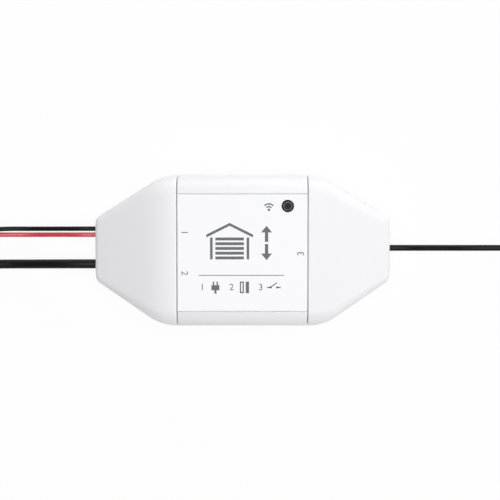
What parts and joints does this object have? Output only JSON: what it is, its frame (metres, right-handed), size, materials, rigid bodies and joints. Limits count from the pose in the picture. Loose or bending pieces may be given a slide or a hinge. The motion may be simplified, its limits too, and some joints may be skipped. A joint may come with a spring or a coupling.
{
  "type": "garage door controller",
  "caption": "Small white garage door controller box with tapered ends, a recessed push button on its face, power wires and a sensor cable at one end and a signal cable at the other.",
  "frame": {"origin": "centre of the flat back, which the controller lies on", "axes": "+X along the housing towards the signal cable, +Y across it towards the button's long side, +Z out of the face panel"},
  "size_m": [0.2529, 0.0456, 0.0222],
  "materials": {
    "white_shell": "fine moulded satin",
    "face_panel": "smooth satin",
    "dark_button": "satin",
    "black_plastic": "matte",
    "tinned_steel": "tinned",
    "screw_steel": "zinc plated",
    "lamp": "clear resin",
    "clear_plastic": "clear moulded",
    "board": "solder mask",
    "board_dark": "solder mask",
    "relay_case": "moulded",
    "capacitor_can": "drawn can",
    "chip": "sintered",
    "ivory_plastic": "moulded",
    "red_sleeve": "satin insulation",
    "black_sleeve": "satin insulation",
    "core_wire": "tinned copper"
  },
  "bodies": {
    "housing": {"base_shell": "white_shell", "centre_cover": "white_shell", "face_panel": "face_panel", "left_cap": "white_shell", "right_cap": "white_shell", "switch_base": "black_plastic", "switch_plate": "tinned_steel", "switch_dome": "tinned_steel", "indicator_led": "lamp", "light_pipe": "clear_plastic", "circuit_board": "board", "wifi_module": "board_dark", "wifi_shield": "tinned_steel", "relay": "relay_case", "filter_capacitor": "capacitor_can", "regulator": "black_plastic", "small_chips": "chip", "power_header": "ivory_plastic", "sensor_header": "ivory_plastic", "signal_header": "ivory_plastic", "power_leads": "red_sleeve", "sensor_lead": "black_sleeve", "signal_lead": "black_sleeve", "left_clamp": "ivory_plastic", "right_clamp": "ivory_plastic", "clamp_screws": "screw_steel", "cap_screws": "screw_steel", "board_screws": "screw_steel", "red_wire": "red_sleeve", "red_coil": "red_sleeve", "red_tail": "red_sleeve", "black_wire": "black_sleeve", "black_coil": "black_sleeve", "black_tail": "black_sleeve", "power_plug": "ivory_plastic", "sensor_cable": "black_sleeve", "sensor_coil": "black_sleeve", "sensor_tail": "black_sleeve", "sensor_cores": "core_wire", "signal_cable": "black_sleeve", "signal_coil": "black_sleeve", "signal_tail": "black_sleeve", "signal_cores": "core_wire", "coil_ties": "black_plastic"},
    "button": {"button_plunger": "dark_button", "switch_stem": "dark_button"}
  },
  "joints": [
    {"name": "button_press", "type": "slide", "parent": "housing", "child": "button", "axis": [0, 0, -1], "range_m": [0, 0.0003], "stiffness_N_per_m": 5000, "deforming": ["switch_dome"]}
  ]
}
